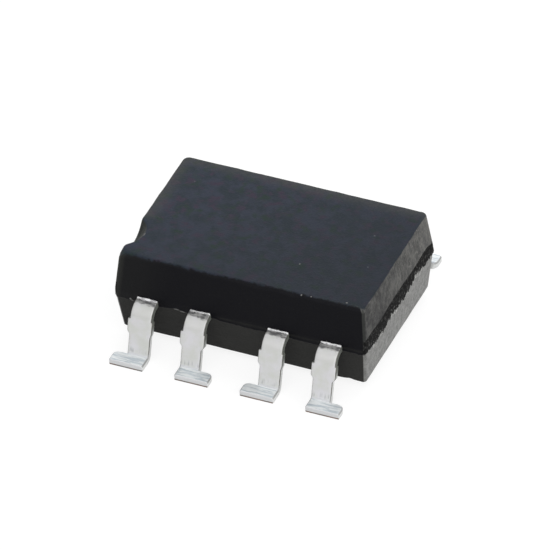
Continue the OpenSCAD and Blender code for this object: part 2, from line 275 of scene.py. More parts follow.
# Colours of the tin
TIN_WARM = (0.63, 0.64, 0.61)
TIN_COOL = (0.70, 0.695, 0.72)
# Painted shade on the bend at the top of the shank, where it faces the front lamp
CROWN_SHADE = (0.52, 0.52, 0.51)
BEAD_DARK = (0.46, 0.46, 0.47)
BEAD_LIGHT = (0.84, 0.84, 0.85)
# Painted reflection of the dark body in the tabs
BODY_REFLECTION_DARK = (0.12, 0.12, 0.125)
BODY_REFLECTION_LIGHT = (0.48, 0.48, 0.47)
# Painted shade on the foot bend, and the feet's flat tops painted brighter for the light they catch
FOOT_BEND = (0.56, 0.57, 0.59)
FOOT_LIT_TIN = (0.80, 0.83, 0.84)
FOOT_STREAK = (0.42, 0.49, 0.54)
DENT = (0.32, 0.33, 0.34)
TORN_DARK = (0.09, 0.09, 0.08)
TORN_LIGHT = (0.22, 0.22, 0.20)
TORN_LOW = (0.55, 0.56, 0.56)
SHEARED_LOW = (0.82, 0.83, 0.82)
# Clean sheared zone painted dark high up, as shade near the body
SHEARED_SHADED = (0.17, 0.18, 0.16)
BARE_DARK = (0.13, 0.12, 0.11)
BARE_LIGHT = (0.20, 0.13, 0.10)
CUT_TIN = (0.72, 0.73, 0.74)

# Gloss, relief and softness of the finishes
EPOXY_ROUGHNESS = (0.42, 0.56)
EPOXY_SPECULAR = 0.087
EPOXY_RELIEF = 0.012
BAND_ROUGHER = 0.4
END_SMOOTHER = 0.15
TIN_ROUGHNESS = (0.42, 0.54)
TIN_METALLIC = 0.25
TIN_RELIEF = 0.002
TORN_ROUGHER = 0.15
NOISE_LOW = 0.3
NOISE_HIGH = 0.7
LIP_BLUR = 0.012
LINE_BLUR = 0.02
# Strength of the painted sheen on the upright corners above the parting line
CORNER_SHEEN = 0.8


def make_piece(name, points, faces, material, node):
    """A smooth mesh from points in millimetres, kept inside the frame's box, that rides on the part."""
    mesh = bpy.data.meshes.new(name)
    places = np.clip(np.asarray(points, float) * MM, *cad_box)
    mesh.from_pydata([tuple(p) for p in places], [], faces)
    mesh.validate()
    mesh.shade_smooth()
    mesh.materials.append(material)
    piece = bpy.data.objects.new(name, mesh)
    bpy.context.scene.collection.objects.link(piece)
    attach(piece, "root")
    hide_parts(node)
    return piece


def paint(piece, name, values):
    """Gives each vertex a value that the finishes can read."""
    piece.data.attributes.new(name, "FLOAT", "POINT").data.foreach_set("value", values)


def bridge(rings, count, first=0, flip=False):
    """Quads between closed outlines of count points each, the first of which has the index first."""
    faces = []
    for i in range(rings - 1):
        for k in range(count):
            a = first + i * count + k
            b = first + i * count + (k + 1) % count
            if flip:
                faces.append((a, a + count, b + count, b))
            else:
                faces.append((a, b, b + count, a + count))
    return faces


def wander(place, seed, wavelength):
    """Smooth noise between about -1 and 1 with the given wavelength in millimetres."""
    return noise.noise(Vector(place) / wavelength + Vector((seed, SEED_Y * seed, SEED_Z * seed)))


def waves(terms, place):
    """Sum of smooth noises at a place, each given by its seed, wavelength and height."""
    return sum(height * wander(place, seed, wavelength) for seed, wavelength, height in terms)


def swells(bells, place):
    """Sum of bell curves at a place along a line, each given by its middle, width and height."""
    return sum(height * math.exp(-((place - middle) / width) ** 2) for middle, width, height in bells)


def ease(value, low, high):
    """A smooth step from 0 at low to 1 at high, whichever of them is the larger."""
    t = min(max((value - low) / (high - low), 0), 1)
    return t * t * (3 - 2 * t)


# Finishes

class Finish:
    """A material's node tree, with short calls for the nodes that the finishes share."""

    def __init__(self, name):
        """Makes the material, with the place on the part in millimetres for its patterns."""
        self.material = bpy.data.materials.new(name)
        self.material.use_nodes = True
        self.nodes = self.material.node_tree.nodes
        self.links = self.material.node_tree.links
        self.shader = self.nodes["Principled BSDF"]
        metres = self.add("ShaderNodeTexCoord").outputs["Object"]
        self.place = self.vector("SCALE", metres, scale=1 / MM)
        self.x, self.y, self.z = self.split(self.place)

    def add(self, kind, inputs=None, **settings):
        """A new node with its settings made and its inputs fed."""
        node = self.nodes.new(kind)
        for key, value in settings.items():
            setattr(node, key, value)
        for key, value in (inputs or {}).items():
            self.feed(node.inputs[key], value)
        return node

    def feed(self, socket, value):
        """Links a socket to another node's output, or sets it to a number or a colour."""
        if isinstance(value, bpy.types.NodeSocket):
            self.links.new(value, socket)
        elif hasattr(socket.default_value, "__len__") and len(socket.default_value) == 4:
            socket.default_value = (*value, 1)
        else:
            socket.default_value = value

    def set(self, **values):
        """Feeds inputs of the shader, named with underscores in place of blanks."""
        for key, value in values.items():
            self.feed(self.shader.inputs[key.replace("_", " ")], value)

    def vector(self, operation, a, b=None, scale=None):
        """Result of an operation on one or two vectors."""
        node = self.add("ShaderNodeVectorMath", {0: a}, operation=operation)
        if b is not None:
            self.feed(node.inputs[1], b)
        if scale is not None:
            node.inputs["Scale"].default_value = scale
        return node.outputs[0]

    def split(self, vector):
        """The three parts of a vector."""
        return self.add("ShaderNodeSeparateXYZ", {0: vector}).outputs

    def math(self, operation, a, b=0.0):
        """Result of an operation on one or two numbers."""
        return self.add("ShaderNodeMath", {0: a, 1: b}, operation=operation).outputs[0]

    def both(self, *amounts):
        """Product of all the amounts."""
        total = amounts[0]
        for amount in amounts[1:]:
            total = self.math("MULTIPLY", total, amount)
        return total

    def fade(self, value, low, high, to_low=0.0, to_high=1.0):
        """A smooth step from to_low, where a value is at low, to to_high, where it is at high."""
        inputs = {"Value": value, "From Min": low, "From Max": high, "To Min": to_low, "To Max": to_high}
        return self.add("ShaderNodeMapRange", inputs, interpolation_type="SMOOTHSTEP").outputs[0]

    def fall(self, value, low, high, amount=1.0):
        """A smooth step down from an amount, where a value is at low, to zero, where it is at high."""
        return self.fade(value, low, high, amount, 0.0)

    def spread(self, noise, low=0.0, high=1.0):
        """A noise stretched to go from low, where it is weak, to high, where it is strong."""
        return self.fade(noise, NOISE_LOW, NOISE_HIGH, low, high)

    def noise(self, per_mm, detail=2.0, roughness=0.5, stretch=(1, 1, 1)):
        """Cloudy noise between 0 and 1."""
        place = self.vector("MULTIPLY", self.place, stretch)
        inputs = {"Vector": place, "Scale": per_mm, "Detail": detail, "Roughness": roughness}
        return self.add("ShaderNodeTexNoise", inputs).outputs["Fac"]

    def spots(self, per_mm):
        """Distance to the nearest of many scattered points, as a share of their spacing."""
        inputs = {"Vector": self.place, "Scale": per_mm}
        return self.add("ShaderNodeTexVoronoi", inputs).outputs["Distance"]

    def near(self, point, radii):
        """One close to a point, fading to zero at an ellipsoid of the given half sizes round it."""
        share = self.vector("DIVIDE", self.vector("SUBTRACT", self.place, point), radii)
        away = self.add("ShaderNodeVectorMath", {0: share}, operation="LENGTH").outputs["Value"]
        return self.fall(away, 0.4, 1.0)

    def painted(self, name):
        """A value that the vertices carry."""
        return self.add("ShaderNodeAttribute", attribute_name=name).outputs["Fac"]

    def blend(self, amount, a, b):
        """A colour from a, where the amount is zero, to b, where it is one."""
        node = self.add("ShaderNodeMix", data_type="RGBA")
        self.feed(node.inputs[0], amount)
        self.feed(node.inputs[6], a)
        self.feed(node.inputs[7], b)
        return node.outputs[2]

    def bump(self, height, depth):
        """A normal for a relief of the given depth in millimetres."""
        inputs = {"Height": height, "Distance": depth * MM, "Strength": 1.0}
        return self.add("ShaderNodeBump", inputs).outputs[0]

    def facing(self):
        """The three parts of the surface's normal."""
        normal = self.add("ShaderNodeNewGeometry").outputs["Normal"]
        return self.split(normal)


def top_mask(f, up, ragged):
    """One on the top and in the notch, where the top's lighter painted tone goes, with a ragged edge
    along the front.
    """
    wavy = f.noise(1.5, 2.0, 0.6)
    tilt = f.math("MULTIPLY", f.math("SUBTRACT", 1.0, up), f.fade(wavy, 0.35, 0.65, 0.7, 1.5))
    jag = f.math("ADD", f.spread(ragged, -0.06, 0.06), f.fade(f.x, -2.5, 1.0, 0.0, -0.08))
    behind_front = f.fade(f.math("ADD", f.y, jag), -3.05, -2.91)
    is_top = f.both(f.fall(tilt, 0.03, 0.5), behind_front)
    return f.math("MAXIMUM", is_top, f.painted("notch"))


def top_colour(f, mottle, ragged):
    """Mottled slate, painted lighter than the flanks for the light on the top, with a paler rim along the
    back and the left, painted shade towards the front right, a grey notch and some light specks.
    """
    top = f.blend(f.fade(mottle, 0.38, 0.62), SLATE_DARK, SLATE_LIGHT)
    purple = f.fade(f.noise(2.9, 2.0, 0.5), 0.5, 0.72)
    top = f.blend(purple, top, SLATE_PURPLE)
    green = f.fade(f.noise(2.3, 2.0, 0.5, stretch=(1, 1, 2)), 0.52, 0.75)
    top = f.blend(green, top, SLATE_GREEN)
    # Painted shade: the top darker towards its front right end
    painted_shade = f.fade(f.math("SUBTRACT", f.x, f.y), -7.0, 7.0, 0.0, 0.65)
    top = f.blend(painted_shade, top, SLATE_PAINTED_SHADE)
    # Paler towards the back and the left edges of the top
    from_edge = f.math("MINIMUM", f.math("SUBTRACT", TOP_Y, f.y), f.math("ADD", f.x, TOP_X))
    worn = f.math("MAXIMUM", f.fall(from_edge, 0.05, 0.2, 0.85), f.fall(from_edge, 0.0, 0.7, 0.68))
    worn = f.both(worn, f.fade(f.y, -1.0, -0.6), f.spread(ragged, 0.6, 1.3))
    top = f.blend(worn, top, TOP_RIM)
    recess = f.blend(f.fade(ragged, 0.35, 0.65), RECESS_DARK, RECESS_LIGHT)
    top = f.blend(f.painted("notch"), top, recess)
    # Light specks scattered over the top
    speck = f.both(f.fall(f.spots(2.3), 0.05, 0.11), f.fade(f.noise(1.1), 0.55, 0.65))
    return f.blend(speck, top, LIGHT_SPECK)


def flank_colour(f, mottle, ragged, is_lower):
    """Nearly black above the parting line and dark grey below it, painted lighter there for the bounce
    light from the floor, with a faint painted highlight over the line.
    """
    upper = f.blend(mottle, UPPER_DARK, UPPER_LIGHT)
    # Painted bounce light: the lower half lighter
    lower = f.blend(mottle, LOWER_DARK, LOWER_LIGHT)
    flank = f.blend(is_lower, upper, lower)
    # Painted highlight: a faint pale line over the parting line
    off_highlight_line = f.math("ABSOLUTE", f.math("SUBTRACT", f.z, HIGHLIGHT_LINE_LEVEL))
    patchy = f.fade(ragged, 0.3, 0.6, 0.5, 1.0)
    highlight_line = f.both(f.fall(off_highlight_line, 0.01, 0.08), f.fade(f.x, -0.95, -0.65), patchy)
    return f.blend(highlight_line, flank, HIGHLIGHT_LINE_GREY)


def end_colour(f, up, ragged, above_lip, under):
    """Painted lighter than the flanks for the light the ends catch: blotched and streaky above the
    parting line and lighter towards the back, a painted reflection, and pale and grainy below it, a
    painted reflection of the floor, with broken flash.
    """
    # Painted reflection: the ends lighter towards the back
    painted_reflection = f.math("ADD", f.fade(f.y, -1.5, 0.0, 0.33, 0.66), f.fade(f.y, 1.6, 2.6, 0.0, 0.4))
    pale = f.math("ADD", f.spread(f.noise(2.4, 5.0, 0.7), -0.3, 0.3), painted_reflection)
    streak_noise = f.noise(7.0, 3.0, 0.7, stretch=(1, 1, 0.4))
    lit_streaks = f.blend(f.fade(streak_noise, 0.36, 0.64), LIT_STREAK_DARK, LIT_STREAK_LIGHT)
    upper = f.blend(pale, END_DARK, lit_streaks)
    crumb = f.both(f.fade(f.noise(9.0, 3.0, 0.7), 0.56, 0.65), f.fade(f.y, -2.0, 2.5, 0.15, 0.8))
    upper = f.blend(crumb, upper, CRUMB)
    # Painted reflection of the floor: pale below the parting line
    lower = f.blend(f.spread(ragged), END_LOWER_DARK, END_LOWER_LIGHT)
    broken = f.both(under, f.fade(above_lip, -0.2, -0.12), f.fade(f.noise(9.0, 1.0), 0.54, 0.6))
    lower = f.blend(broken, lower, BROKEN_FLASH)
    end = f.blend(under, upper, lower)
    # Painted highlight along the rounded top edge of the ends
    rim = f.both(f.fade(up, 0.3, 0.55), f.fade(ragged, 0.4, 0.6, 0.1, 0.6))
    return f.blend(rim, end, END_EDGE_HIGHLIGHT)


def paint_corner_sheen(f, colour, across, along, is_lower):
    """Paints a grey sheen on the upright corners above the parting line, and on the front beside its left
    one: painted highlights on the rounded corners.
    """
    # Painted sheen on the upright corners, only above the parting line
    sheen = f.math("SUBTRACT", CORNER_SHEEN, f.math("MULTIPLY", is_lower, CORNER_SHEEN))
    corner = [f.fade(f.math("ABSOLUTE", part), 0.2, 0.4) for part in (across, along)]
    colour = f.blend(f.both(*corner, sheen), colour, CORNER_SHEEN_GREY)
    drawn_back = f.math("MULTIPLY", f.math("SUBTRACT", f.z, BAND_HIGH), math.tan(END_DRAFT_UPPER))
    from_end = f.math("SUBTRACT", f.math("ADD", f.x, HALF_LENGTH), drawn_back)
    # Painted sheen on the front, strongest at its left end
    paler = f.math("MAXIMUM", f.fall(from_end, 0.0, 0.42), f.fall(from_end, 0.3, 2.4, 0.18))
    is_front = f.fall(along, -0.6, -0.4)
    return f.blend(f.both(paler, is_front, sheen), colour, FRONT_SHEEN_GREY)


def mould_finish():
    """Matte epoxy: a mottled slate top, darker flanks and paler blotched ends, painted so face by face
    for the light each catches, and a dark broken band.
    """
    f = Finish("mould_epoxy")
    across, along, up = f.facing()
    grain = f.noise(16.0, 2.0, 0.6)
    mottle = f.noise(1.7, 4.0, 0.6)
    ragged = f.noise(5.0, 4.0, 0.7)
    just_over_one = 1.0001
    sideways = f.math("SQRT", f.math("SUBTRACT", just_over_one, f.math("MULTIPLY", up, up)))
    is_end = f.fade(f.math("DIVIDE", f.math("ABSOLUTE", across), sideways), 0.2, 0.45)
    is_lower = f.fall(f.painted("above_side"), -LINE_BLUR, LINE_BLUR)
    teeth = f.spread(f.noise(9.0, 3.0, 0.8), -0.03, 0.03)
    above_lip = f.math("ADD", f.painted("above_lip"), teeth)
    under = f.fall(above_lip, -LIP_BLUR, LIP_BLUR)

    flank = flank_colour(f, mottle, ragged, is_lower)
    end = end_colour(f, up, ragged, above_lip, under)
    colour = paint_corner_sheen(f, f.blend(is_end, flank, end), across, along, is_lower)
    # Painted light: the top takes its lighter painted tone over the flanks and ends
    colour = f.blend(top_mask(f, up, ragged), colour, top_colour(f, mottle, ragged))
    over_lip = f.fade(above_lip, -LIP_BLUR, LIP_BLUR)
    below_top = f.fade(f.painted("below_band"), -LINE_BLUR, LINE_BLUR)
    far_out = f.fade(f.math("ABSOLUTE", f.x), HALF_LENGTH - 0.14, HALF_LENGTH - 0.06)
    band = f.both(over_lip, below_top, far_out)
    chip = f.both(f.fade(f.noise(9.0, 3.0, 0.7), 0.51, 0.68), f.fade(above_lip, 0.1, 0.35, 1.0, 0.4))
    colour = f.blend(band, colour, f.blend(chip, BAND_BLACK, BAND_CHIP))
    # Painted highlights on flash slivers and on the notch's rim, and light specks on the top
    for point, radii in FLECKS_AND_HIGHLIGHTS:
        colour = f.blend(f.near(point, radii), colour, FLECK_AND_HIGHLIGHT)

    rough = f.math("ADD", f.spread(grain, *EPOXY_ROUGHNESS), f.both(band, BAND_ROUGHER))
    rough = f.math("SUBTRACT", rough, f.both(under, is_end, END_SMOOTHER))
    f.set(Base_Color=colour, Roughness=rough, Specular_IOR_Level=EPOXY_SPECULAR)
    f.set(Normal=f.bump(grain, EPOXY_RELIEF))
    return f.material


def bead_and_body_reflection(f, tin, mottle, depth, beyond):
    """A mottled bead where the strip leaves the mould, and beside it a dark mottled band, a painted
    reflection of the dark body in the tab.
    """
    out = f.math("SUBTRACT", beyond, HALF_WIDTH)
    out = f.math("ADD", out, f.spread(f.noise(4.0, 3.0, 0.6), -0.05, 0.05))
    bead = f.both(f.fall(out, 0.06, 0.09), f.fade(f.z, FRAME_HIGH - 0.08, FRAME_HIGH - 0.03))
    tin = f.blend(bead, tin, f.blend(f.fade(mottle, 0.38, 0.56), BEAD_DARK, BEAD_LIGHT))
    # Painted reflection of the dark body in the tab beside the bead
    beside = f.both(f.fade(out, 0.07, 0.10), f.fall(out, 0.25, 0.33))
    body_reflection = f.both(beside, f.fade(depth, 0.4, 0.9), f.fade(f.z, FRAME_HIGH - 0.3, FRAME_HIGH - 0.2))
    reflection_mottle = f.noise(8.0, 3.0, 0.7, stretch=(0.4, 1, 1))
    return f.blend(body_reflection, tin, f.blend(f.fade(reflection_mottle, 0.38, 0.66), BODY_REFLECTION_DARK, BODY_REFLECTION_LIGHT))


def streak_foot(f, tin, up, low):
    """A foot whose flat top is painted brighter for the light it catches, with streaks along it, a grey
    bend painted as shade, and small dents over the bend.
    """
    drawn = f.noise(9.0, 2.0, 0.6, stretch=(1, 0.12, 0.12))
    formed = f.noise(13.0, 3.0, 0.6, stretch=(0.1, 1, 1))
    foot = f.both(low, f.fade(up, 0.85, 0.98))
    bend = f.both(low, f.fade(up, 0.3, 0.5), f.fall(up, 0.85, 0.98))
    # Painted shade on the bend, and a brighter tone painted on the flat top for the light it catches
    tin = f.blend(bend, tin, FOOT_BEND)
    tin = f.blend(foot, tin, FOOT_LIT_TIN)
    streak = f.both(f.fade(formed, 0.48, 0.6, 0.0, 0.7), foot)
    tin = f.blend(streak, tin, FOOT_STREAK)
    near_bend = f.both(f.fade(f.z, 0.28, 0.38), f.fall(f.z, 0.38, 0.58))
    dent = f.both(f.fade(drawn, 0.52, 0.62), near_bend)
    return f.blend(f.math("MULTIPLY", dent, 0.5), tin, DENT)


def sheared_colour(f, mottle, depth, low):
    """The cut sides of the strip: torn through most of their depth, and clean along the lower edge; the
    clean zone is painted dark high up, as shade near the body, and the torn zone is lighter on the feet.
    """
    torn = f.blend(f.fade(mottle, 0.35, 0.65), TORN_DARK, TORN_LIGHT)
    torn = f.blend(f.math("MULTIPLY", low, 0.65), torn, TORN_LOW)
    # Painted shade: the clean zone darker high up near the body
    clean = f.blend(f.fade(f.z, 0.9, 1.4), SHEARED_LOW, SHEARED_SHADED)
    return f.blend(f.fade(depth, 0.25, 0.6), clean, torn)


def tin_finish():
    """Satin tin: a painted reflection of the body beside the mould, painted shade on the bends, streaked
    and painted brighter on the feet, torn at the sides, bare low on the tips.
    """
    f = Finish("tin_plating")
    across, along, up = f.facing()
    cloud = f.noise(2.2, 3.0, 0.55)
    mottle = f.noise(8.0, 3.0, 0.6)
    depth = f.painted("depth")
    beyond = f.math("ABSOLUTE", f.y)
    low = f.fall(f.z, 0.30, 0.46)

    tin = f.blend(f.spread(cloud), TIN_WARM, TIN_COOL)
    # Painted shade: the upper bend greyed where it faces the front lamp
    on_bend = f.both(f.fade(up, 0.24, 0.5, 0.0, 0.7), f.fade(up, 0.75, 0.98, 1.0, 0.35))
    tin = f.blend(f.both(on_bend, f.fade(f.z, 1.1, 1.45)), tin, CROWN_SHADE)
    tin = bead_and_body_reflection(f, tin, mottle, depth, beyond)
    tin = streak_foot(f, tin, up, low)
    side = f.math("ADD", f.math("ABSOLUTE", across), f.math("MULTIPLY", low, 0.25))
    sheared = f.fade(side, 0.55, 0.85)
    tin = f.blend(sheared, tin, sheared_colour(f, mottle, depth, low))
    tip = f.both(f.fade(f.math("ABSOLUTE", along), 0.5, 0.8), f.fade(beyond, TIP_Y - 0.05, TIP_Y - 0.02))
    bare = f.blend(f.fade(cloud, 0.4, 0.6), BARE_DARK, BARE_LIGHT)
    tin = f.blend(tip, tin, f.blend(f.fade(depth, -0.6, -0.3), bare, CUT_TIN))

    rough = f.math("ADD", f.spread(mottle, *TIN_ROUGHNESS), f.both(sheared, TORN_ROUGHER))
    f.set(Base_Color=tin, Metallic=TIN_METALLIC, Roughness=rough, Normal=f.bump(mottle, TIN_RELIEF))
    return f.material


def plain_finish(name, dark, light, per_mm, **settings):
    """A finish for the sealed pieces: two tones of one colour and a fine uneven gloss."""
    f = Finish(name)
    cloud = f.noise(per_mm, 3.0)
    rough = f.fade(cloud, 0.2, 0.8, 0.25, 0.45)
    f.set(Base_Color=f.blend(cloud, dark, light), Roughness=rough, **settings)
    return f.material


# The body

def edge_radius(x, y, level):
    """Radius of the top or bottom edge at a place: uneven, rounder in front and worn in two places."""
    uneven = 1 + waves(EDGE_WAVES, (x, y, level))
    if level == TOP:
        from_corner = math.hypot(x + HALF_LENGTH, y + HALF_WIDTH)
        front = ease(y, FRONT_EDGE_START, -HALF_WIDTH)
        radius = EDGE_RADIUS + (FRONT_EDGE_RADIUS - EDGE_RADIUS) * front
        worn = WORN_CORNER * math.exp(-(from_corner / WORN_CORNER_REACH) ** 2)
    else:
        radius = EDGE_RADIUS
        worn = swells(WORN_BASE, x) if y < 0 else 0
    return radius * uneven + worn


def corner_radius(level, back):
    """Radius of an upright corner, larger on the upper half at the back."""
    growth = (BACK_CORNER_RADIUS - CORNER_RADIUS) * back
    return CORNER_RADIUS + growth * ease(level, FRAME_LOW, BAND_HIGH)


def band_top(y):
    """Level up to which an end is dark above its parting line."""
    return BAND_DARK_TOP - BAND_BACK_SINK * ease(y, *BAND_BACK) - swells(BAND_DIPS, y)


def end_lip(side, y):
    """Level of the broken parting line across an end, with a few humps and fine teeth."""
    teeth = waves(BAND_TEETH, (0, y, SIDES_APART * side))
    line = FRAME_LOW + CORNER_RISE * ease(y, *CORNER_RISE_Y)
    off_corner = ease(HALF_WIDTH - CORNER_RADIUS - abs(y), 0, BAND_FADE)
    return line + off_corner * (swells(BAND_HUMPS, y) + teeth)


def side_lip(side, x):
    """Level of the parting line along a side, a little uneven."""
    return SIDE_LIP + swells(SIDE_HUMPS, -side * x) + waves(SIDE_WAVES, (x, 0, SIDES_APART * side))


def reach(level, half, drafts, lip, radii):
    """Half the body's length or width at a level, its rounded edges and its parting lip included."""
    if level >= lip:
        draft, radius = drafts[1], radii[1]
        face = half
        rise = max(level - BAND_HIGH, 0)
        whole = TOP - BAND_HIGH
    else:
        draft, radius = drafts[0], radii[0]
        face = half - BAND_LIP
        rise = FRAME_LOW - level
        whole = FRAME_LOW - BASE
    if rise <= whole - radius * (1 - math.sin(draft)):
        return face - rise * math.tan(draft)
    centre = face - whole * math.tan(draft) - radius * (1 - math.sin(draft)) / math.cos(draft)
    drop = min(rise - whole + radius, radius)
    return centre + math.sqrt(max(radius ** 2 - drop ** 2, 0))


def reach_x(level, side, y):
    """Distance of an end from the middle of the body at a level and a place across it."""
    radii = [edge_radius(side * HALF_LENGTH, y, edge) for edge in (BASE, TOP)]
    return reach(level, HALF_LENGTH, (END_DRAFT_LOWER, END_DRAFT_UPPER), end_lip(side, y), radii)


def reach_y(level, side, x):
    """Distance of a side from the middle of the body at a level and a place along it."""
    radii = [edge_radius(x, side * HALF_WIDTH, edge) for edge in (BASE, TOP)]
    return reach(level, HALF_WIDTH, (SIDE_DRAFT_LOWER, SIDE_DRAFT_UPPER), side_lip(side, x), radii)


def body_ring(level):
    """One closed outline of the body at a level, as points from the +X end anticlockwise."""
    corners = []
    for side_x, side_y in ((1, 1), (-1, 1), (-1, -1), (1, -1)):
        radius = corner_radius(level, side_y > 0)
        middle_x = side_x * (reach_x(level, side_x, side_y * HALF_WIDTH) - radius)
        middle_y = side_y * (reach_y(level, side_y, side_x * HALF_LENGTH) - radius)
        corners.append((side_x, side_y, middle_x, middle_y, radius))
    points = []
    for corner, after in zip(corners, corners[1:] + corners[:1]):
        side_x, side_y, middle_x, middle_y, radius = corner
        to_side = side_x * side_y > 0
        for step in range(CORNER_STEPS + 1):
            share = step / CORNER_STEPS if to_side else 1 - step / CORNER_STEPS
            angle = share * math.pi / 2
            x = middle_x + side_x * radius * math.cos(angle)
            points.append((x, middle_y + side_y * radius * math.sin(angle), level))
        if to_side:
            for x in np.linspace(middle_x, after[2], COLUMNS + 1)[1:-1]:
                points.append((x, side_y * reach_y(level, side_y, x), level))
        else:
            for y in np.linspace(middle_y, after[3], ROWS + 1)[1:-1]:
                points.append((side_x * reach_x(level, side_x, y), y, level))
    return np.array(points)


def body_levels():
    """Levels of the outlines, close together at the edges and round the edges of the parting band."""
    low = BASE + EDGE_DEPTH * np.linspace(0, 1, BASE_EDGE_LEVELS) ** 2
    high = TOP - EDGE_DEPTH * np.linspace(1, 0, TOP_EDGE_LEVELS) ** 2
    between = [
        np.arange(low[-1] + GRID, LIP_LEVELS[0], GRID),
        np.arange(*LIP_LEVELS, FINE_GRID),
        np.arange(LIP_LEVELS[1], BAND_TOP_LEVELS[0], GRID),
        np.arange(*BAND_TOP_LEVELS, FINE_GRID),
        np.arange(BAND_TOP_LEVELS[1], high[0] - GRID / 2, GRID),
    ]
    return np.concatenate([low, *between, high])


def drawn_in(ring, inset):
    """A smaller copy of an outline inside it."""
    size = np.abs(ring).max(axis=0)
    return ring * [1 - inset / size[0], 1 - inset / size[1], 1]


def notch_centre():
    """Middle of the sphere that scoops out the notch."""
    out = (NOTCH_WIDTH ** 2 / 4 - NOTCH_REACH ** 2) / (2 * NOTCH_REACH)
    up = math.sqrt(NOTCH_RADIUS ** 2 - NOTCH_WIDTH ** 2 / 4 - out ** 2)
    return np.array([-TOP_X - out, -NOTCH_OFFSET, TOP + up])


def cut_notch(points):
    """Moves what lies inside the notch's sphere inward and down onto the sphere."""
    push = np.array([1, 0, -1]) / math.sqrt(2)
    offset = points - notch_centre()
    inside = np.linalg.norm(offset, axis=1) < NOTCH_RADIUS
    along = offset @ push
    rest = np.maximum(along ** 2 - (offset ** 2).sum(1) + NOTCH_RADIUS ** 2, 0)
    travel = np.where(inside, np.sqrt(rest) - along, 0)
    return points + travel[:, None] * push


def soften_notch(piece):
    """Rounds the rim of the notch by evening out the vertices along it."""
    centre = Vector(notch_centre()) * MM
    skin = bmesh.new()
    skin.from_mesh(piece.data)
    rim = [v for v in skin.verts if abs((v.co - centre).length - NOTCH_RADIUS * MM) < NOTCH_RIM * MM]
    for _ in range(NOTCH_RIM_PASSES):
        bmesh.ops.smooth_vert(
            skin, verts=rim, factor=0.5, use_axis_x=True, use_axis_y=True, use_axis_z=True)
    skin.to_mesh(piece.data)
    skin.free()


def weather(points):
    """The slight unevenness of the moulded faces, stronger along the edges of the top."""
    moved = []
    for x, y, z in points:
        inside = min(TOP_X - abs(x), TOP_Y - abs(y))
        near_rim = math.exp(-(inside / RIM_REACH) ** 2) * math.exp(-((TOP - z) / RIM_DROP) ** 2)
        flank = FACE_UNEVENNESS if BASE + EDGE_RADIUS < z < TOP - EDGE_RADIUS else 0
        lift = (flank + RIM_UNEVENNESS * near_rim) * waves(FACE_WAVES, (x, y, z))
        outward = Vector((x / HALF_LENGTH, y / HALF_WIDTH, (z - FRAME_LOW) / FRAME_LOW)).normalized()
        moved.append(Vector((x, y, z)) + lift * outward)
    return moved


def underside(ring, first):
    """Points from index first on, and faces, that close the underside with its ejector pins' marks."""
    profile = (
        (MARK_RADIUS + MARK_RIM, 0),
        (MARK_RADIUS, 0),
        (MARK_RADIUS - MARK_RIM / 2, MARK_DEPTH - MARK_RIM / 2),
        (MARK_RADIUS - MARK_RIM, MARK_DEPTH),
        (MARK_RADIUS - 2 * MARK_RIM, MARK_DEPTH),
    )
    angles = np.linspace(0, 2 * math.pi, MARK_STEPS, endpoint=False)
    loops = [[Vector(p) for p in ring]]
    index = list(range(len(ring)))
    points = []
    faces = []
    for middle in CHANNEL_X:
        mark = []
        for radius, depth in profile:
            mark += [(middle + radius * math.cos(a), radius * math.sin(a), BASE + depth) for a in angles]
        start = first + len(points)
        loops.append([Vector(p) for p in mark[:MARK_STEPS]])
        index += range(start, start + MARK_STEPS)
        faces += bridge(len(profile), MARK_STEPS, start, flip=True)
        points += mark
        end = first + len(points)
        faces.append(tuple(range(end - 1, end - 1 - MARK_STEPS, -1)))
    flat = [p for loop in loops for p in loop]
    for a, b, c in geometry.tessellate_polygon(loops):
        turns_up = (flat[b] - flat[a]).cross(flat[c] - flat[a]).z > 0
        faces.append((index[a], index[c], index[b]) if turns_up else (index[a], index[b], index[c]))
    return points, faces


def paint_body(piece):
    """Marks the vertices in the notch, and gives all their heights to the parting lines and the band."""
    centre = Vector(notch_centre())
    masks = {"notch": [], "above_lip": [], "above_side": [], "below_band": []}
    for vertex in piece.data.vertices:
        place = vertex.co / MM
        x, y, z = place
        masks["notch"].append(ease((place - centre).length, NOTCH_PAINT_OUTER, NOTCH_PAINT_INNER))
        masks["above_lip"].append(z - end_lip(1 if x > 0 else -1, y))
        masks["above_side"].append(z - side_lip(1 if y > 0 else -1, x))
        masks["below_band"].append(band_top(y) - z)
    for name, values in masks.items():
        paint(piece, name, values)


def mould_skin(material):
    """The moulded body as a stack of outlines, closed by a flat top and an underside with its marks."""
    outlines = [body_ring(level) for level in body_levels()]
    insets = np.linspace(0, CAP_INSET, CAP_RINGS + 1)[1:]
    lowest = [drawn_in(outlines[0], insets[k]) for k in BASE_RINGS]
    rings = lowest + outlines + [drawn_in(outlines[-1], inset) for inset in insets]
    count = len(rings[0])
    points = weather(cut_notch(np.concatenate(rings)))
    faces = bridge(len(rings), count)
    faces.append(tuple(range(len(points) - count, len(points))))
    marks, mark_faces = underside(rings[0], len(points))
    piece = make_piece("mould_skin", points + marks, faces + mark_faces, material, "outer_mould")
    soften_notch(piece)
    paint_body(piece)


# The leads

def tab_stations(edges):
    """Stations of the flat tab that leaves the mould and of the bend down from it."""
    middle = BEND_RADIUS + HALF_THICKNESS
    stations = []
    for y in np.linspace(HALF_WIDTH - TAB_DEPTH, BEND_Y, TAB_STEPS + 1)[:-1]:
        stations.append((y, FRAME_HIGH - HALF_THICKNESS, 0, edges, 0))
    for a in np.linspace(0, TURN, BEND_STEPS + 1):
        stations.append((BEND_Y + middle * math.sin(a), BEND_Z + middle * math.cos(a), a, edges, 0))
    return stations


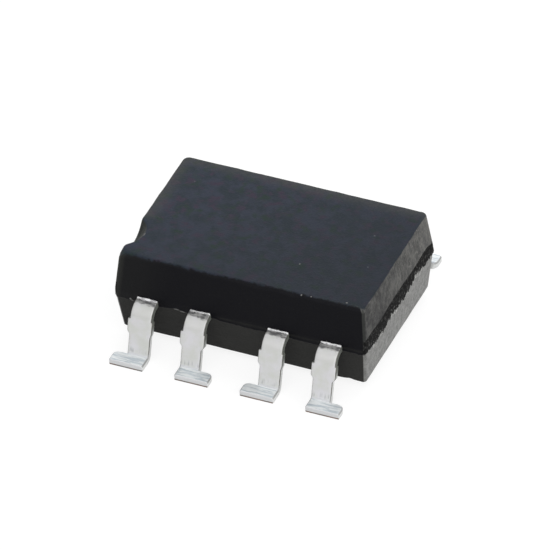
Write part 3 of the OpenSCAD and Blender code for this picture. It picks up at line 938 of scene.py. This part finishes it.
def shank_stations(start, wide, stub, narrow):
    """Stations down the leaning shank: its stubs, their fading and the narrower strip."""
    stub_end = STUB_DROP + STUB_LENGTH
    profile = [(STUB_DROP, wide), (STUB_DROP + STUB_RAMP, stub)]
    profile += [(STUB_DROP + STUB_LENGTH * k / STUB_STEPS, stub) for k in range(1, STUB_STEPS + 1)]
    for k in range(1, STUB_STEPS + 1):
        share = (1 - math.cos(math.pi * k / STUB_STEPS)) / 2
        edges = tuple(s + (n - s) * share for s, n in zip(stub, narrow))
        profile.append((stub_end + STUB_FADE * k / STUB_STEPS, edges))
    fade_end = stub_end + STUB_FADE
    rest = SHANK_LENGTH - stub_end - STUB_FADE
    profile += [(fade_end + rest * k / SHANK_STEPS, narrow) for k in range(1, SHANK_STEPS + 1)]
    stations = []
    for run, edges in profile:
        place = (start[0] + run * math.cos(TURN), start[1] - run * math.sin(TURN))
        stations.append((*place, TURN, edges, 0))
    return stations


def rounded_off(radius, past):
    """How far a rounding has drawn an edge in at a length past its start."""
    return radius - math.sqrt(max(radius ** 2 - max(past, 0) ** 2, 0))


def foot_stations(start, narrow):
    """Stations of the bend at the bottom of the shank and of the foot, which widens into its wing."""
    middle = FOOT_BEND_RADIUS + HALF_THICKNESS
    pivot_y = start[0] + middle * math.sin(TURN)
    pivot_z = start[1] + middle * math.cos(TURN)
    stations = []

    def add_station(run, edges, inset=0):
        """A station at a length past the end of the bend, or on the bend where it is negative."""
        a = max(-run / middle, 0)
        y = pivot_y - middle * math.sin(a) + max(run, 0)
        stations.append((y, pivot_z - middle * math.cos(a), a, edges, inset))

    for run in np.linspace(-middle * TURN, -WING_LEAD, FOOT_BEND_STEPS + 1)[1:]:
        add_station(run, narrow)
    quarter = math.pi / 2
    tip_start = FOOT_LENGTH - TIP_RADIUS
    wing_turns = [1 - math.cos(quarter * k / WING_STEPS) for k in range(WING_STEPS + 1)]
    runs = [WING_RADIUS * turn - WING_LEAD for turn in wing_turns]
    runs += list(np.linspace(runs[-1], tip_start, FOOT_STEPS + 1)[1:])
    runs += [tip_start + TIP_RADIUS * math.sin(quarter * k / TIP_STEPS) for k in range(1, TIP_STEPS + 1)]
    for run in runs:
        wing = rounded_off(WING_RADIUS, WING_RADIUS - WING_LEAD - run)
        tip = rounded_off(TIP_RADIUS, run - FOOT_LENGTH + TIP_RADIUS)
        inset = rounded_off(BURR_RADIUS, run - FOOT_LENGTH + BURR_RADIUS)
        add_station(run + STATION_GAP, (-FLUSH + max(wing, tip), FLUSH - tip), inset)
    return stations


def lead_stations(shank_width, stub_left, stub_right):
    """Stations along a lead of the back row: middle of the strip, slope, two edges and an inset."""
    wide = (FLUSH - LEAD_WIDTH, FLUSH)
    narrow = (FLUSH - shank_width, FLUSH)
    stub = (FLUSH - LEAD_WIDTH - stub_left, FLUSH + stub_right)
    stations = tab_stations(wide)
    stations += shank_stations(stations[-1], wide, stub, narrow)
    stations += foot_stations(stations[-1], narrow)
    return stations


def strip_section(left, right, inset):
    """A section across the strip, with rolled upper edges and sharper lower ones."""
    half = HALF_THICKNESS - inset
    section = []

    def add_corner(x, v, radius, first):
        """A quarter turn clockwise round a middle, from a first angle."""
        for k in range(ARC_STEPS + 1):
            a = first - math.pi / 2 * k / ARC_STEPS
            section.append((x + radius * math.cos(a), v + radius * math.sin(a)))

    for u in np.linspace(left + ROLLED_EDGE, right - ROLLED_EDGE, FLAT_STEPS + 1)[1:-1]:
        section.append((u, half))
    add_corner(right - ROLLED_EDGE, half - ROLLED_EDGE, ROLLED_EDGE, math.pi / 2)
    add_corner(right - SHARP_EDGE, SHARP_EDGE - half, SHARP_EDGE, 0)
    for u in np.linspace(right - SHARP_EDGE, left + SHARP_EDGE, FLAT_STEPS + 1)[1:-1]:
        section.append((u, -half))
    add_corner(left + SHARP_EDGE, SHARP_EDGE - half, SHARP_EDGE, -math.pi / 2)
    add_corner(left + ROLLED_EDGE, half - ROLLED_EDGE, ROLLED_EDGE, math.pi)
    return section


def rim_bead(x, y):
    """Height of the bead of tin and flash that the strip has where it leaves the mould."""
    middle = HALF_WIDTH + BEAD_OUT + waves(BEAD_SWAY, (x, 0, 0))
    height = BEAD_HEIGHT + waves(BEAD_WAVES, (x, 0, 0))
    return height * math.exp(-((y - middle) / BEAD_WIDTH) ** 2)


def lead_inside(node):
    """The stretch of a lead inside the mould, cut from the frame's own solid, in millimetres."""
    solid = bmesh.new()
    solid.from_mesh(frame["nodes"][node].data)
    solid.transform(Matrix.Scale(1 / MM, 4))
    bmesh.ops.remove_doubles(solid, verts=solid.verts, dist=WELD_DISTANCE)
    side = 1 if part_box(node)[1].y > -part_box(node)[0].y else -1
    plane = Vector((0, side * (HALF_WIDTH - TAB_DEPTH), 0))
    everything = solid.verts[:] + solid.edges[:] + solid.faces[:]
    cut = bmesh.ops.bisect_plane(
        solid, geom=everything, plane_co=plane, plane_no=(0, side, 0), clear_outer=True)
    rim = [e for e in cut["geom_cut"] if isinstance(e, bmesh.types.BMEdge)]
    bmesh.ops.holes_fill(solid, edges=rim)
    solid.verts.index_update()
    points = [tuple(v.co) for v in solid.verts]
    faces = [tuple(v.index for v in face.verts) for face in solid.faces]
    solid.free()
    return points, faces


def lead_skin(n, material):
    """One lead: the formed strip outside the mould, and the frame's own solid inside it."""
    # The flush edge of a foot faces the other lead of its pair
    front = n <= ROW_LEADS
    mate = 1 if (n % 2 == 1) == front else -1
    row = -1 if front else 1
    stubs = (STUB_REACH, NEAR_STUB_REACH)[::mate]
    stations = lead_stations(ODD_SHANK_WIDTH if n % 2 else SHANK_WIDTH, *stubs)
    points = []
    depths = []
    for y, z, slope, (left, right), inset in stations:
        for u, v in strip_section(left, right, inset):
            x = FOOT_X[n] + mate * u
            depths.append(v / HALF_THICKNESS)
            v += STRIP_UNEVENNESS * wander((x, y, z + v), STRIP_SEED + n, STRIP_WAVELENGTH)
            if v > 0 and slope == 0 and z > LEAD_THICKNESS:
                v += rim_bead(x, y)
            points.append((x, row * (y + v * math.sin(slope)), z + v * math.cos(slope)))
    count = len(points) // len(stations)
    faces = [tuple(range(count)), tuple(range(len(points) - 1, len(points) - 1 - count, -1))]
    faces += bridge(len(stations), count, flip=True)
    # A strip that is mirrored once is turned right side out
    if mate * row < 0:
        faces = [face[::-1] for face in faces]
    inner_points, inner_faces = lead_inside(f"lead_{n}")
    faces += [tuple(len(points) + k for k in face) for face in inner_faces]
    points += inner_points
    depths += [0] * len(inner_points)
    piece = make_piece(f"lead_skin_{n}", points, faces, material, f"lead_{n}")
    paint(piece, "depth", depths)


# The sealed pieces

def dress_inside():
    """Finishes for the sealed pieces, which stay as the frame's own solids."""
    silver = plain_finish("silver_epoxy", (0.42, 0.43, 0.45), (0.58, 0.59, 0.60), 30.0, Metallic=0.6)
    finishes = {
        "inner_mould": plain_finish("white_epoxy", (0.72, 0.71, 0.65), (0.84, 0.83, 0.78), 2.0),
        "led_chip": plain_finish("emitter_die", (0.20, 0.06, 0.05), (0.30, 0.10, 0.07), 9.0),
        "led_attach": silver,
        "led_wire": plain_finish("gold_wire", (0.78, 0.55, 0.16), (0.88, 0.68, 0.26), 20.0, Metallic=1.0),
        "silicone_dome": plain_finish("silicone", (0.80, 0.86, 0.90), (0.90, 0.94, 0.97), 4.0),
        "detector_chip": plain_finish("detector_die", (0.05, 0.07, 0.12), (0.09, 0.11, 0.16), 9.0),
        "detector_attach": silver,
    }
    finishes["detector_wire"] = finishes["led_wire"]
    for name, node in frame["nodes"].items():
        kind = name.rsplit("_", 1)[0]
        if kind in finishes:
            node.data.materials.clear()
            node.data.materials.append(finishes[kind])


# The stage

def seen_by_eye(tree):
    """One for rays of the camera, of gloss and of clear materials, and zero for all others."""
    path = tree.nodes.new("ShaderNodeLightPath")
    total = path.outputs["Is Camera Ray"]
    for name in ("Is Glossy Ray", "Is Transmission Ray"):
        either = tree.nodes.new("ShaderNodeMath")
        either.operation = "MAXIMUM"
        tree.links.new(total, either.inputs[0])
        tree.links.new(path.outputs[name], either.inputs[1])
        total = either.outputs[0]
    return total


def add_floor():
    """A white floor that keeps a soft shadow and is seen as white by the camera and by gloss."""
    half = 1.0
    clearance = 2e-6
    glow = 0.86
    shade_albedo = 0.2
    bounce_albedo = 0.5
    level = cad_box[0].z - clearance
    mesh = bpy.data.meshes.new("floor")
    corners = [(-half, -half, level), (half, -half, level), (half, half, level), (-half, half, level)]
    mesh.from_pydata(corners, [], [(0, 1, 2, 3)])
    floor = bpy.data.objects.new("floor", mesh)
    bpy.context.scene.collection.objects.link(floor)
    material = bpy.data.materials.new("floor_white")
    material.use_nodes = True
    tree = material.node_tree
    tree.nodes.clear()
    output = tree.nodes.new("ShaderNodeOutputMaterial")
    switch = tree.nodes.new("ShaderNodeMixShader")
    tree.links.new(seen_by_eye(tree), switch.inputs[0])
    bounce = tree.nodes.new("ShaderNodeBsdfDiffuse")
    bounce.inputs["Color"].default_value = (bounce_albedo, bounce_albedo, bounce_albedo, 1)
    shade = tree.nodes.new("ShaderNodeBsdfDiffuse")
    shade.inputs["Color"].default_value = (shade_albedo, shade_albedo, shade_albedo, 1)
    light = tree.nodes.new("ShaderNodeEmission")
    light.inputs["Strength"].default_value = glow
    seen = tree.nodes.new("ShaderNodeAddShader")
    tree.links.new(shade.outputs[0], seen.inputs[0])
    tree.links.new(light.outputs[0], seen.inputs[1])
    tree.links.new(bounce.outputs[0], switch.inputs[1])
    tree.links.new(seen.outputs[0], switch.inputs[2])
    tree.links.new(switch.outputs[0], output.inputs["Surface"])
    mesh.materials.append(material)


def set_world():
    """White where it is seen, and a faint even light elsewhere."""
    ambient = 0.3
    world = bpy.data.worlds.new("studio")
    bpy.context.scene.world = world
    world.use_nodes = True
    tree = world.node_tree
    background = tree.nodes["Background"]
    background.inputs["Color"].default_value = (1, 1, 1, 1)
    level = tree.nodes.new("ShaderNodeMapRange")
    level.inputs["To Min"].default_value = ambient
    level.inputs["To Max"].default_value = 1.0
    tree.links.new(seen_by_eye(tree), level.inputs["Value"])
    tree.links.new(level.outputs[0], background.inputs["Strength"])


def direction(azimuth, elevation):
    """Unit vector from the part to a place at an azimuth from the front and an elevation, in degrees."""
    a = math.radians(azimuth)
    e = math.radians(elevation)
    return Vector((math.sin(a) * math.cos(e), -math.cos(a) * math.cos(e), math.sin(e)))


def soft_box(name, azimuth, elevation, distance, size, level):
    """A square lamp aimed at the part, at the level to which it lights a white face turned to it."""
    lamp = bpy.data.lights.new(name, "AREA")
    lamp.shape = "SQUARE"
    lamp.size = size
    lamp.energy = level * math.pi ** 2 * distance ** 2
    box = bpy.data.objects.new(name, lamp)
    bpy.context.scene.collection.objects.link(box)
    away = direction(azimuth, elevation)
    box.location = away * distance
    box.rotation_euler = away.to_track_quat("Z", "Y").to_euler()


def add_camera():
    """The photograph's view: its direction, roll, distance, aim and lens."""
    back = direction(azimuth=24.113, elevation=38.339)
    roll = math.radians(-2.070)
    distance = 356.867
    aim = Vector((0.0185, -0.0515, 1.7560))
    level = Vector((0, 0, 1)).cross(back).normalized()
    right = math.cos(roll) * level + math.sin(roll) * back.cross(level)
    lens = bpy.data.cameras.new("camera")
    lens.sensor_width = 36
    lens.lens = 649.873
    lens.clip_end = 10
    camera = bpy.data.objects.new("camera", lens)
    bpy.context.scene.collection.objects.link(camera)
    axes = Matrix((right, back.cross(right), back)).transposed()
    camera.matrix_world = Matrix.Translation((aim + distance * back) * MM) @ axes.to_4x4()
    bpy.context.scene.camera = camera


add_camera()
add_floor()
set_world()
soft_box("front", azimuth=12, elevation=42, distance=0.35, size=0.45, level=0.65)
soft_box("right", azimuth=80, elevation=25, distance=0.3, size=0.2, level=0.35)
soft_box("back", azimuth=185, elevation=55, distance=0.35, size=0.3, level=0.38)

mould_skin(mould_finish())
tin = tin_finish()
for n in LEADS:
    lead_skin(n, tin)
dress_inside()

bpy.context.scene.view_settings.view_transform = "Standard"
